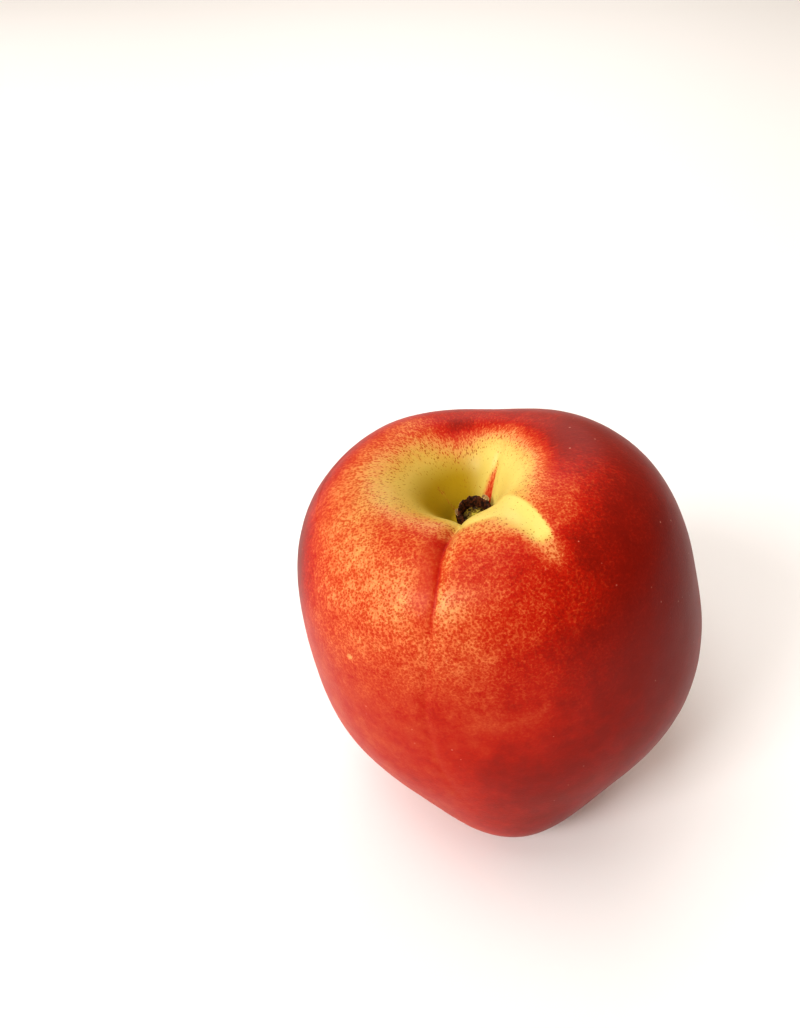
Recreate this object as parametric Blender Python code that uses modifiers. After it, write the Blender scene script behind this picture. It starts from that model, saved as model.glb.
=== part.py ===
"""A whole nectarine, as picked, resting on a small flat spot.

The fruit is shaped in its own frame: the core is at the origin, the stem axis runs along +Z, azimuths turn
from +X towards +Y, and the suture faces -Y. It is then leaned over and set down, so that the flat spot's
centre is the world's origin, +Z is up and the suture side still faces -Y.
"""

import math

import bmesh
import bpy
import numpy as np
from mathutils import Matrix

MM = 0.001

# Body: how far the skin is from the core, in mm, at every 30 degrees from the stem end to the blossom end.
BODY_RADII = (30.0, 36.3, 35.4, 32.7, 33.1, 33.6, 34.0)
BODY_STEP = math.radians(30)
OVAL = 0.028
OVAL_AZIMUTH = math.radians(-38)
THREE_SIDED = 0.020
THREE_SIDED_AZIMUTH = math.radians(-15)

# Swells and hollows: azimuth and elevation in degrees, spread in degrees, height in mm.
BLOSSOM_TIP = (-97, -50, 22, 6.2)
BACK_SADDLE = (76, 50, 20, -1.7)
SEAT = (150, -78, 13, 1.3)
MEAN_RADIUS = 35.0

# Stem cavity: a funnel pressed down along the stem axis, with a round socket in its floor for the stub.
CAVITY_DEPTH = 16.0
CAVITY_RADIUS = 5.6
CAVITY_POWER = 1.3
CAVITY_WIDER = 0.22
CAVITY_WIDER_AZIMUTH = math.radians(150)
CAVITY_FLOOR_Z = 20.6
CAVITY_FLOOR_BLEND = 0.6
CAVITY_REACH = 24.0

# Suture: a groove that runs from the cavity to the blossom tip and bows to one side on its way.
SUTURE_AZIMUTH = math.radians(-97)
SUTURE_START = math.radians(24)
SUTURE_END = math.radians(126)
SUTURE_BOW = 7.5
SUTURE_LIP_DEPTH = 1.9
SUTURE_LIP_FADE = math.radians(22)
SUTURE_DEPTH = 0.35
SUTURE_HALF_WIDTH = 1.8
SUTURE_SHARPNESS = 1.4

# A short crease in the cavity's far wall, and a shallow trough that a twig left on the near shoulder.
CREASE_AZIMUTH = math.radians(48)
CREASE_REACH = 11.0
CREASE_DEPTH = 1.2
CREASE_HALF_WIDTH = 1.1
TROUGH_AZIMUTH = math.radians(-62)
TROUGH_MIDDLE = 15.0
TROUGH_HALF_LENGTH = 7.0
TROUGH_DEPTH = 0.9
TROUGH_HALF_WIDTH = 2.6

# How the fruit stands.
LEAN = math.radians(12.5)
CORE_HEIGHT = 34.4
CORE_X = 0.2
CORE_Y = 0.5

# Stem stub: the woody end of the stalk, a low knobbly cup with a fibrous middle.
STUB_RADIUS = 3.1
STUB_BASE_Z = 19.9
STUB_TOP_Z = 23.2
STUB_EDGE = 0.5
STUB_CUP_RADIUS = 1.9
STUB_CUP_DEPTH = 0.9
STUB_CUP_CURVE = 0.3
STUB_RIM_CURVE = 0.1
STUB_KNOBS = 7
STUB_BROAD_KNOBS = 3
STUB_BROAD_SHARE = 0.6
STUB_KNOB_HEIGHT = 0.22
STUB_GAP = 0.3
SOCKET_TOP_Z = 24.0

# Mesh fineness.
MERIDIAN_POINTS = 52
CROWN_CROWDING = 0.45
FRUIT_STEPS = 96
STUB_STEPS = 28
WELD = 0.000001
GROUND_SIDE = 0.06


def body_radius(polar):
    """Distance from the core at each polar angle: a cosine series through BODY_RADII."""
    orders = np.arange(len(BODY_RADII))
    amounts = np.linalg.solve(np.cos(np.outer(orders * BODY_STEP, orders)), BODY_RADII)
    return np.cos(np.outer(polar, orders)) @ amounts


def meridian():
    """Points (x, z) of the uncut body from the stem end down to the blossom end, closer round the crown."""
    share = np.linspace(0, 1, MERIDIAN_POINTS)
    polar = math.pi * (share - CROWN_CROWDING * np.sin(math.pi * share) / math.pi)
    radius = body_radius(polar)
    points = np.column_stack((radius * np.sin(polar), radius * np.cos(polar)))
    points[[0, -1], 0] = 0
    return points


def turn(name, points, steps):
    """Turns a profile of (x, z) points in mm round the Z axis and returns the welded mesh in mm."""
    mesh = bpy.data.meshes.new(name)
    edges = [(i, i + 1) for i in range(len(points) - 1)]
    mesh.from_pydata([(x * MM, 0, z * MM) for x, z in points], edges, [])
    obj = bpy.data.objects.new(name, mesh)
    bpy.context.scene.collection.objects.link(obj)
    screw = obj.modifiers.new("turn", "SCREW")
    screw.steps = steps
    screw.render_steps = steps
    screw.use_merge_vertices = True
    screw.merge_threshold = WELD
    bpy.context.view_layer.update()
    turned = bpy.data.meshes.new_from_object(obj.evaluated_get(bpy.context.evaluated_depsgraph_get()))
    bpy.data.objects.remove(obj)
    bpy.data.meshes.remove(mesh)
    work = bmesh.new()
    work.from_mesh(turned)
    bmesh.ops.remove_doubles(work, verts=work.verts, dist=WELD)
    bmesh.ops.recalc_face_normals(work, faces=work.faces)
    work.to_mesh(turned)
    work.free()
    turned.name = name
    return turned


def read_points(mesh):
    """The mesh's vertices as an array in mm."""
    points = np.empty(len(mesh.vertices) * 3)
    mesh.vertices.foreach_get("co", points)
    return points.reshape(-1, 3) / MM


def write_points(mesh, points):
    """Moves the mesh's vertices to an array of points in mm."""
    mesh.vertices.foreach_set("co", (points * MM).ravel())
    mesh.update()


def unsteady_round(points):
    """Makes the round body slightly oval and three-sided, most at its waist."""
    polar_sine = np.hypot(points[:, 0], points[:, 1]) / np.linalg.norm(points, axis=1)
    azimuth = np.arctan2(points[:, 1], points[:, 0])
    oval = OVAL * polar_sine**2 * np.cos(2 * (azimuth - OVAL_AZIMUTH))
    three = THREE_SIDED * polar_sine**3 * np.cos(3 * (azimuth - THREE_SIDED_AZIMUTH))
    return points * (1 + oval + three)[:, None]


def swell(points, azimuth, elevation, spread, height):
    """Raises a soft round swelling, or a hollow if the height is negative, towards one direction."""
    azimuth, elevation, spread = (math.radians(angle) for angle in (azimuth, elevation, spread))
    flat = math.cos(elevation)
    towards = np.array([flat * math.cos(azimuth), flat * math.sin(azimuth), math.sin(elevation)])
    alignment = points @ towards / np.linalg.norm(points, axis=1)
    weight = np.exp((alignment - 1) / (1 - math.cos(spread)))
    return points * (1 + height / MEAN_RADIUS * weight)[:, None]


def press_cavity(points):
    """Presses the stem cavity into the crown, wider on one side, with a soft stop at its floor."""
    across = np.hypot(points[:, 0], points[:, 1])
    azimuth = np.arctan2(points[:, 1], points[:, 0])
    radius = CAVITY_RADIUS * (1 + CAVITY_WIDER * np.cos(azimuth - CAVITY_WIDER_AZIMUTH))
    drop = CAVITY_DEPTH * np.exp(-((across / radius) ** CAVITY_POWER))
    to_floor = points[:, 2] - CAVITY_FLOOR_Z
    softer = (drop + to_floor - np.hypot(drop - to_floor, CAVITY_FLOOR_BLEND)) / 2
    near_stem = (points[:, 2] > 0) & (across < CAVITY_REACH)
    pressed = points.copy()
    pressed[near_stem, 2] -= softer[near_stem]
    return pressed


def sink(points, uncut, depth):
    """Moves points towards the core by a depth each, along the uncut body's own directions."""
    inward = -uncut / np.linalg.norm(uncut, axis=1)[:, None]
    return points + inward * depth[:, None]


def suture_depth(uncut):
    """Depth of the suture groove at each point of the uncut body."""
    polar = np.arccos(uncut[:, 2] / np.linalg.norm(uncut, axis=1))
    across = np.hypot(uncut[:, 0], uncut[:, 1])
    turned = np.arctan2(uncut[:, 1], uncut[:, 0]) - SUTURE_AZIMUTH
    along = np.clip((polar - SUTURE_START) / (SUTURE_END - SUTURE_START), 0, 1)
    aside = across * np.sin(turned) + SUTURE_BOW * np.sin(math.pi * along)
    lip = SUTURE_LIP_DEPTH * np.exp(-((np.maximum(polar - SUTURE_START, 0) / SUTURE_LIP_FADE) ** 2))
    running = SUTURE_DEPTH * (1 - along**4) + lip
    near_stem = 1 - np.exp(-((across / STUB_RADIUS) ** 2))
    groove = np.exp(-np.abs(aside / SUTURE_HALF_WIDTH) ** SUTURE_SHARPNESS)
    return np.where(np.cos(turned) > 0, running * near_stem * groove, 0)


def ray_depth(uncut, azimuth, middle, half_length, half_width, depth):
    """Depth of a straight furrow on the crown that points away from the stem at one azimuth."""
    outward = uncut[:, 0] * math.cos(azimuth) + uncut[:, 1] * math.sin(azimuth)
    aside = uncut[:, 1] * math.cos(azimuth) - uncut[:, 0] * math.sin(azimuth)
    weight = np.exp(-(((outward - middle) / half_length) ** 4) - (aside / half_width) ** 2)
    return np.where(uncut[:, 2] > 0, depth * weight, 0)


def stand_matrix():
    """Leans the fruit over, away from +X, and lifts its core to its height above the flat spot, in metres."""
    core = Matrix.Translation((CORE_X * MM, CORE_Y * MM, CORE_HEIGHT * MM))
    return core @ Matrix.Rotation(-LEAN, 4, "Y")


def fruit_mesh():
    """The fruit: turned, made uneven, furrowed and set in its standing pose, before the flat spot is cut."""
    mesh = turn("fruit", meridian(), FRUIT_STEPS)
    uncut = unsteady_round(read_points(mesh))
    uncut = swell(uncut, *BLOSSOM_TIP)
    uncut = swell(uncut, *BACK_SADDLE)
    uncut = swell(uncut, *SEAT)
    crease = ray_depth(
        uncut, CREASE_AZIMUTH, CREASE_REACH / 2, CREASE_REACH / 2, CREASE_HALF_WIDTH, CREASE_DEPTH
    )
    trough = ray_depth(
        uncut, TROUGH_AZIMUTH, TROUGH_MIDDLE, TROUGH_HALF_LENGTH, TROUGH_HALF_WIDTH, TROUGH_DEPTH
    )
    shaped = sink(press_cavity(uncut), uncut, suture_depth(uncut) + crease + trough)
    write_points(mesh, shaped)
    mesh.transform(stand_matrix())
    return mesh


def stub_profile():
    """The stub's outline (x, z), from the middle of its cup over the rim and down to its base."""
    cup_floor = STUB_TOP_Z - STUB_CUP_DEPTH
    middle_of_rim = (STUB_CUP_RADIUS + STUB_RADIUS) / 2
    return [
        (0, cup_floor),
        (STUB_CUP_RADIUS / 2, cup_floor + STUB_RIM_CURVE),
        (STUB_CUP_RADIUS, cup_floor + STUB_CUP_CURVE),
        (middle_of_rim - STUB_EDGE / 2, STUB_TOP_Z - STUB_RIM_CURVE),
        (middle_of_rim, STUB_TOP_Z),
        (STUB_RADIUS - STUB_EDGE / 2, STUB_TOP_Z - STUB_RIM_CURVE),
        (STUB_RADIUS, STUB_TOP_Z - STUB_EDGE),
        (STUB_RADIUS, (STUB_TOP_Z + STUB_BASE_Z) / 2),
        (STUB_RADIUS - STUB_EDGE / 2, STUB_BASE_Z + STUB_EDGE),
        (STUB_RADIUS - STUB_EDGE, STUB_BASE_Z),
        (0, STUB_BASE_Z),
    ]


def knob_lack(azimuth):
    """How far the stub's bark falls short of its highest knob at each azimuth, from 0 to 1."""
    broad = STUB_BROAD_SHARE * np.cos(STUB_BROAD_KNOBS * azimuth + 1)
    knobs = np.cos(STUB_KNOBS * azimuth) + broad
    return (1 - knobs / (1 + STUB_BROAD_SHARE)) / 2


def stub_mesh():
    """The stem stub: turned, with uneven knobs round its side and rim."""
    mesh = turn("stem_stub", stub_profile(), STUB_STEPS)
    points = read_points(mesh)
    lack = knob_lack(np.arctan2(points[:, 1], points[:, 0]))
    across = np.hypot(points[:, 0], points[:, 1])
    outer = np.clip(across / STUB_RADIUS, 0, 1) ** 3
    points[:, :2] *= (1 - STUB_KNOB_HEIGHT / STUB_RADIUS * outer * lack)[:, None]
    rim = (across > STUB_CUP_RADIUS) & (points[:, 2] > STUB_TOP_Z - STUB_EDGE)
    points[rim, 2] -= 2 * STUB_KNOB_HEIGHT * lack[rim]
    write_points(mesh, points)
    mesh.transform(stand_matrix())
    return mesh


def add_object(name, mesh, collection, colour, roughness):
    """Links a mesh as a named object in a collection, smooth shaded, with its own material."""
    material = bpy.data.materials.new(name + "_material")
    material.use_nodes = True
    shader = material.node_tree.nodes["Principled BSDF"]
    shader.inputs["Base Color"].default_value = (*colour, 1)
    shader.inputs["Roughness"].default_value = roughness
    shader.inputs["Metallic"].default_value = 0
    mesh.materials.append(material)
    mesh.shade_smooth()
    obj = bpy.data.objects.new(name, mesh)
    collection.objects.link(obj)
    return obj


def add_cutter(name, work, collection):
    """Links a finished bmesh as a cutter, which shows as wire and isn't part of the model."""
    mesh = bpy.data.meshes.new(name)
    work.to_mesh(mesh)
    work.free()
    cutter = bpy.data.objects.new(name, mesh)
    cutter.hide_render = True
    cutter.display_type = "WIRE"
    collection.objects.link(cutter)
    return cutter


def ground_cutter(collection):
    """A block whose top face is the ground, which cuts the flat spot."""
    work = bmesh.new()
    bmesh.ops.create_cube(work, size=GROUND_SIDE, matrix=Matrix.Translation((0, 0, -GROUND_SIDE / 2)))
    return add_cutter("ground_cutter", work, collection)


def socket_cutter(collection):
    """A round plug a little wider and deeper than the stub, which cuts the stub's socket."""
    radius = (STUB_RADIUS + STUB_GAP) * MM
    floor = STUB_BASE_Z - STUB_GAP
    middle = Matrix.Translation((0, 0, (SOCKET_TOP_Z + floor) / 2 * MM))
    work = bmesh.new()
    bmesh.ops.create_cone(
        work,
        cap_ends=True,
        segments=STUB_STEPS,
        radius1=radius,
        radius2=radius,
        depth=(SOCKET_TOP_Z - floor) * MM,
        matrix=stand_matrix() @ middle,
    )
    return add_cutter("socket_cutter", work, collection)


def cut(obj, name, cutter):
    """Cuts one shape out of another with a live Boolean."""
    boolean = obj.modifiers.new(name, "BOOLEAN")
    boolean.operation = "DIFFERENCE"
    boolean.solver = "EXACT"
    boolean.object = cutter


def clear_scene():
    """Removes what the file opened with."""
    for obj in list(bpy.data.objects):
        bpy.data.objects.remove(obj)


def main():
    """Builds the nectarine: the fruit with its flat spot, and the stem stub in its cavity."""
    clear_scene()
    parts = bpy.data.collections.new("nectarine")
    cutters = bpy.data.collections.new("cutters")
    bpy.context.scene.collection.children.link(parts)
    bpy.context.scene.collection.children.link(cutters)

    fruit = add_object("fruit", fruit_mesh(), parts, colour=(0.52, 0.06, 0.02), roughness=0.38)
    cut(fruit, "stub_socket", socket_cutter(cutters))
    cut(fruit, "flat_spot", ground_cutter(cutters))

    add_object("stem_stub", stub_mesh(), parts, colour=(0.07, 0.03, 0.015), roughness=0.85)


main()
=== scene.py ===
"""The looks of a ripe nectarine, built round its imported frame.

The fruit is modelled in its own frame and in millimetres: the core is at the origin, the stem axis runs along
+Z, azimuths turn from +X towards +Y, and the suture faces -Y. Each finished piece is then leaned over and set
down as the frame holds it, in metres.
"""

import logging
import math
from dataclasses import dataclass, field
from enum import Enum

import bpy
import numpy as np
from bpy.types import Material, Mesh, Node, NodeSocket, NodeTree, Object
from mathutils import Matrix, Vector, noise


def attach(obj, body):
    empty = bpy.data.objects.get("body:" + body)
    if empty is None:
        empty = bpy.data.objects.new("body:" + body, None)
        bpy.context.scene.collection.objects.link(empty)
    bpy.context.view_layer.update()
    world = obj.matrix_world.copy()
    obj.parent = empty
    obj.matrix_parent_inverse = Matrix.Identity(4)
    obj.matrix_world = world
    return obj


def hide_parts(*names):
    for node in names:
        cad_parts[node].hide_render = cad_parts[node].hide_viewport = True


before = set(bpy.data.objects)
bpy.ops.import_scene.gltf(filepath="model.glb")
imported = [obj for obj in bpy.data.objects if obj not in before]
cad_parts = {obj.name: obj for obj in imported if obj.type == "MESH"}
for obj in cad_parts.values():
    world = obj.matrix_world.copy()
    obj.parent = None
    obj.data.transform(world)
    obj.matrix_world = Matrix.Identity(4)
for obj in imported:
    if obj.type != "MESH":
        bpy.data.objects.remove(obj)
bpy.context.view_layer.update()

MM = 0.001
FAR_OFF = 99.0
LOG = logging.getLogger("nectarine")


class Socket(Enum):
    """The material slots of the record that a piece can take its finish from."""

    SKIN = "skin"
    BARK = "stub_bark"


# --- Small tools ---


def linear(colour: str) -> tuple[float, float, float, float]:
    """Turns an sRGB hex colour into linear light.

    Args:
        colour: The colour as six hex digits after a #.

    Returns:
        Red, green, blue and an alpha of 1.
    """
    parts = [int(colour[i : i + 2], 16) / 255 for i in (1, 3, 5)]
    return (*(p / 12.92 if p <= 0.04045 else ((p + 0.055) / 1.055) ** 2.4 for p in parts), 1.0)


def add_node(tree: NodeTree, kind: str, settings: dict | None = None, links: dict | None = None) -> Node:
    """Adds a node to a tree, sets it up and links its inputs.

    Args:
        tree: The node tree.
        kind: The node's type, without its ShaderNode prefix.
        settings: Values by input name, input number or property name.
        links: Outputs by the name or number of the input that each one feeds.

    Returns:
        The new node.
    """
    node = tree.nodes.new("ShaderNode" + kind)
    for name, value in (settings or {}).items():
        if isinstance(name, int) or name in node.inputs:
            node.inputs[name].default_value = value
        else:
            setattr(node, name, value)
    for name, source in (links or {}).items():
        tree.links.new(source, node.inputs[name])
    return node


def set_stops(ramp: Node, stops: tuple[float, ...], colours: tuple[str, ...]) -> None:
    """Gives a colour ramp its stops.

    Args:
        ramp: A Color Ramp node.
        stops: Places from 0 to 1.
        colours: An sRGB hex colour for each place.
    """
    elements = ramp.color_ramp.elements
    while len(elements) < len(stops):
        elements.new(0.5)
    for element, place, colour in zip(elements, stops, colours):
        element.position = place
        element.color = linear(colour)


def start_material(name: str) -> tuple[Material, NodeTree, NodeSocket]:
    """Starts a material and returns it, its node tree and the object's own coordinates."""
    material = bpy.data.materials.new(name)
    material.use_nodes = True
    return material, material.node_tree, add_node(material.node_tree, "TexCoord").outputs["Object"]


def set_surface(tree: NodeTree, values: dict) -> None:
    """Gives the shader its numbers and colours, and links the outputs among them, by input name."""
    shader = tree.nodes["Principled BSDF"]
    for name, value in values.items():
        if isinstance(value, NodeSocket):
            tree.links.new(value, shader.inputs[name])
        else:
            shader.inputs[name].default_value = value


def smooth_step(low: float, high: float, values: np.ndarray) -> np.ndarray:
    """Eases values from 0 at low to 1 at high."""
    share = np.clip((values - low) / (high - low), 0, 1)
    return share * share * (3 - 2 * share)


def read_points(mesh: Mesh) -> np.ndarray:
    """The mesh's vertices as an array in mm."""
    points = np.empty(len(mesh.vertices) * 3)
    mesh.vertices.foreach_get("co", points)
    return points.reshape(-1, 3) / MM


def write_points(mesh: Mesh, points: np.ndarray) -> None:
    """Moves the mesh's vertices to an array of points in mm."""
    mesh.vertices.foreach_set("co", (points * MM).ravel())
    mesh.update()


def store(mesh: Mesh, name: str, values: np.ndarray) -> None:
    """Keeps a value or a vector for each vertex as an attribute, for the material to read.

    Args:
        mesh: The mesh.
        name: The attribute's name.
        values: One number or one vector for each vertex.
    """
    kind, key = ("FLOAT", "value") if values.ndim == 1 else ("FLOAT_VECTOR", "vector")
    mesh.attributes.new(name, kind, "POINT").data.foreach_set(key, values.ravel())


def roughen(points: np.ndarray, size: float, seed: float) -> np.ndarray:
    """Smooth noise at each point, from about -1 to 1.

    Args:
        points: Points in mm.
        size: The width of a bump in mm.
        seed: Moves the pattern, so that two pieces differ.
    """
    shift = Vector((seed, 2 * seed, 3 * seed))
    return np.array([noise.noise(Vector(point) / size + shift) for point in points])


def start_piece(name: str) -> Object:
    """Names the primitive that was just added, and its mesh, and returns it."""
    piece = bpy.context.object
    piece.name = name
    piece.data.name = name
    return piece


def tidy_mesh(piece: Object) -> None:
    """Merges doubles, turns the faces outwards and shades the piece smooth."""
    bpy.ops.object.select_all(action="DESELECT")
    piece.select_set(True)
    bpy.context.view_layer.objects.active = piece
    bpy.ops.object.mode_set(mode="EDIT")
    bpy.ops.mesh.select_all(action="SELECT")
    bpy.ops.mesh.remove_doubles(threshold=1e-7)
    bpy.ops.mesh.normals_make_consistent(inside=False)
    bpy.ops.object.mode_set(mode="OBJECT")
    bpy.ops.object.shade_smooth()


def finish_piece(piece: Object, material: Material) -> None:
    """Dresses a finished piece and fixes it to the frame."""
    piece.data.materials.clear()
    piece.data.materials.append(material)
    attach(piece, "root")
    LOG.info("%s: %d faces", piece.name, len(piece.data.polygons))


# --- Where the fruit stands ---


@dataclass(frozen=True)
class Stance:
    """How the fruit's own frame stands in the world."""

    lean: float = math.radians(12.5)
    core: tuple[float, float, float] = (0.2, 0.5, 34.4)

    def matrix(self) -> Matrix:
        """Leans a piece away from +X and lifts the core to its place, in metres."""
        return Matrix.Translation(Vector(self.core) * MM) @ Matrix.Rotation(-self.lean, 4, "Y")

    def height(self, points: np.ndarray) -> np.ndarray:
        """The world heights in mm of points in the fruit's own frame."""
        return self.core[2] + points[:, 0] * math.sin(self.lean) + points[:, 2] * math.cos(self.lean)


# --- The fruit's shape ---


@dataclass(frozen=True)
class Patch:
    """A soft round place on the body, for a swelling or a change of colour.

    Attributes:
        azimuth: Its direction round the stem axis, in degrees.
        polar: How far it is from the stem end, in degrees.
        spread: Its radius in degrees.
        amount: What it adds at its middle.
    """

    azimuth: float
    polar: float
    spread: float
    amount: float

    def weight(self, directions: np.ndarray) -> np.ndarray:
        """How much of the patch reaches each unit direction, from 0 to 1."""
        azimuth, polar, spread = (math.radians(a) for a in (self.azimuth, self.polar, self.spread))
        flat = math.sin(polar)
        towards = np.array([flat * math.cos(azimuth), flat * math.sin(azimuth), math.cos(polar)])
        return np.exp((directions @ towards - 1) / (1 - math.cos(spread)))


@dataclass
class FruitForm:
    """The outer shape of the fruit, in mm and in its own frame."""

    radii: tuple[float, ...] = (30.0, 36.3, 35.4, 32.7, 33.1, 33.6, 34.0)
    radius_step: float = math.radians(30)
    mean_radius: float = 35.0
    oval: float = 0.028
    oval_azimuth: float = math.radians(-38)
    three_sided: float = 0.020
    three_sided_azimuth: float = math.radians(-15)
    swells: tuple[Patch, ...] = (
        Patch(-97, 140, 22, 6.2),
        Patch(76, 40, 20, -1.7),
        Patch(150, 168, 13, 1.3),
    )

    cavity_depth: float = 16.0
    cavity_radius: float = 5.6
    cavity_power: float = 1.3
    cavity_wider: float = 0.22
    cavity_wider_azimuth: float = math.radians(150)
    cavity_floor: float = 20.6
    cavity_floor_blend: float = 0.6
    cavity_reach: float = 24.0

    suture_azimuth: float = math.radians(-97)
    suture_start: float = math.radians(24)
    suture_end: float = math.radians(126)
    suture_bow: float = 7.5
    suture_skew: float = 1.15
    suture_kink: float = 1.4
    suture_kink_rise: tuple[float, float] = (math.radians(20.5), math.radians(25))
    suture_kink_fade: float = math.radians(9)
    suture_lip_kink: float = 0.8
    lip_depth: float = 2.1
    lip_width: float = 2.0
    lip_power: float = 1.3
    lip_fade: float = math.radians(9)
    groove_depth: float = 0.34
    groove_width: float = 0.65
    groove_fade: float = math.radians(17)
    line_depth: float = 0.14

    crease_azimuth: float = math.radians(48)
    crease_reach: float = 9.5
    crease_depth: float = 0.95
    crease_width: float = 0.8
    ridge_share: float = 0.22
    trough_azimuth: float = math.radians(-63)
    trough_start: float = 8.0
    trough_tip: float = 22.3
    trough_depth: float = 0.75
    trough_right: float = 2.0
    trough_left: float = 1.2
    trough_taper: float = 0.16

    undulations: tuple[tuple[float, float], ...] = ((9.0, 0.10), (3.2, 0.022))

    def radius(self, polar: np.ndarray) -> np.ndarray:
        """Distance from the core at each polar angle: a cosine series through the radii."""
        orders = np.arange(len(self.radii))
        amounts = np.linalg.solve(np.cos(np.outer(orders * self.radius_step, orders)), self.radii)
        return np.cos(np.outer(polar, orders)) @ amounts

    def body(self, polar: np.ndarray, azimuth: np.ndarray) -> np.ndarray:
        """The fruit's body at polar angles and azimuths, before anything is pressed into it."""
        sine = np.sin(polar)
        oval = self.oval * sine**2 * np.cos(2 * (azimuth - self.oval_azimuth))
        three = self.three_sided * sine**3 * np.cos(3 * (azimuth - self.three_sided_azimuth))
        direction = np.column_stack((sine * np.cos(azimuth), sine * np.sin(azimuth), np.cos(polar)))
        swell = np.ones(len(polar))
        for patch in self.swells:
            swell *= 1 + patch.amount / self.mean_radius * patch.weight(direction)
        return direction * (self.radius(polar) * (1 + oval + three) * swell)[:, None]

    def cavity_drop(self, points: np.ndarray) -> np.ndarray:
        """How far each point sinks along the stem axis, with a soft stop at the cavity's floor."""
        across = np.hypot(points[:, 0], points[:, 1])
        azimuth = np.arctan2(points[:, 1], points[:, 0])
        radius = self.cavity_radius * (1 + self.cavity_wider * np.cos(azimuth - self.cavity_wider_azimuth))
        drop = self.cavity_depth * np.exp(-((across / radius) ** self.cavity_power))
        to_floor = points[:, 2] - self.cavity_floor
        softer = (drop + to_floor - np.hypot(drop - to_floor, self.cavity_floor_blend)) / 2
        return np.where((points[:, 2] > 0) & (across < self.cavity_reach), softer, 0)

    def aside(self, points: np.ndarray) -> np.ndarray:
        """Distance in mm from the suture's line, positive towards +X, and far off on the other side."""
        across = np.hypot(points[:, 0], points[:, 1])
        polar = np.arctan2(across, points[:, 2])
        turned = np.arctan2(points[:, 1], points[:, 0]) - self.suture_azimuth
        along = np.clip((polar - self.suture_start) / (self.suture_end - self.suture_start), 0, 1)
        below_lip = smooth_step(*self.suture_kink_rise, polar)
        past = np.maximum(polar - self.suture_start - math.radians(4), 0)
        kink = self.suture_kink * np.exp(-((past / self.suture_kink_fade) ** 2))
        kink = self.suture_lip_kink + (kink - self.suture_lip_kink) * below_lip
        bowed = across * np.sin(turned) + self.suture_bow * np.sin(math.pi * along**self.suture_skew) + kink
        return np.where(np.cos(turned) > 0, bowed, FAR_OFF)

    def suture_depth(self, points: np.ndarray) -> np.ndarray:
        """Depth of the suture: a soft notch at the lip, a crisp groove below it, then a faint line."""
        across = np.hypot(points[:, 0], points[:, 1])
        polar = np.arctan2(across, points[:, 2])
        aside = np.abs(self.aside(points))
        past_lip = np.maximum(polar - self.suture_start, 0)
        across_lip = (aside / self.lip_width) ** self.lip_power
        lip = self.lip_depth * np.exp(-((past_lip / self.lip_fade) ** 2) - across_lip)
        fade = np.exp(-((past_lip / self.groove_fade) ** 2))
        line = self.line_depth * (1 - smooth_step(self.suture_end / 2, self.suture_end, polar))
        groove = (self.groove_depth * fade + line) * np.exp(-((aside / self.groove_width) ** 1.4))
        return (lip + groove) * smooth_step(2.5, 6.0, across)

    def crown_line(self, points: np.ndarray, azimuth: float) -> tuple[np.ndarray, np.ndarray]:
        """Distances out from the stem axis and aside, from a line on the crown that points one way.

        Args:
            points: Points of the body.
            azimuth: The line's direction.

        Returns:
            Distances along the line and across it, in mm; both are far off below the fruit's middle.
        """
        outward = points[:, 0] * math.cos(azimuth) + points[:, 1] * math.sin(azimuth)
        aside = points[:, 1] * math.cos(azimuth) - points[:, 0] * math.sin(azimuth)
        below = np.where(points[:, 2] > 0, 0, FAR_OFF)
        return outward + below, aside + below

    def crease(self, points: np.ndarray) -> np.ndarray:
        """Shape, from 0 to 1, of the crease in the cavity's far wall, with the low ridge on its right."""
        outward, aside = self.crown_line(points, self.crease_azimuth)
        reach = self.crease_reach / 2
        along = np.exp(-(((outward - reach) / reach) ** 4))
        ridge = self.ridge_share * np.exp(-(((aside + 1.2) / 0.7) ** 2))
        return along * (np.exp(-((aside / self.crease_width) ** 2)) - ridge)

    def trough_edges(self, outward: np.ndarray) -> tuple[np.ndarray, np.ndarray]:
        """Where the leaf-shaped trough's right and left edges lie, aside of its middle line, in mm."""
        share = np.clip((outward - self.trough_start) / (self.trough_tip - self.trough_start), 0, 1)
        right = self.trough_right * np.sqrt(1 - share**4)
        left = -self.trough_left - self.trough_taper * (self.trough_tip - outward)
        return right, left

    def trough(self, points: np.ndarray) -> np.ndarray:
        """Shape, from 0 to 1, of the leaf-shaped trough: steep on its right, easy on its left."""
        outward, aside = self.crown_line(points, self.trough_azimuth)
        right, left = self.trough_edges(outward)
        middle = right - 2.0
        width = np.where(aside > middle, 2.0, (middle - left) * 1.1)
        ends = smooth_step(self.trough_start - 4, self.trough_start + 3, outward)
        ends *= 1 - smooth_step(self.trough_tip - 3.5, self.trough_tip, outward)
        return ends * np.exp(-(((aside - middle) / width) ** 2))

    def pressed(self, body: np.ndarray) -> np.ndarray:
        """The body with the cavity, the suture, the crease, the trough and slight undulations."""
        inward = -body / np.linalg.norm(body, axis=1)[:, None]
        depth = self.suture_depth(body)
        depth += self.crease_depth * self.crease(body)
        depth += self.trough_depth * self.trough(body)
        for seed, (size, height) in enumerate(self.undulations):
            depth -= height * roughen(body, size, seed + 0.5)
        points = body + inward * depth[:, None]
        points[:, 2] -= self.cavity_drop(body)
        return points


# --- The skin's colouring ---


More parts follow.
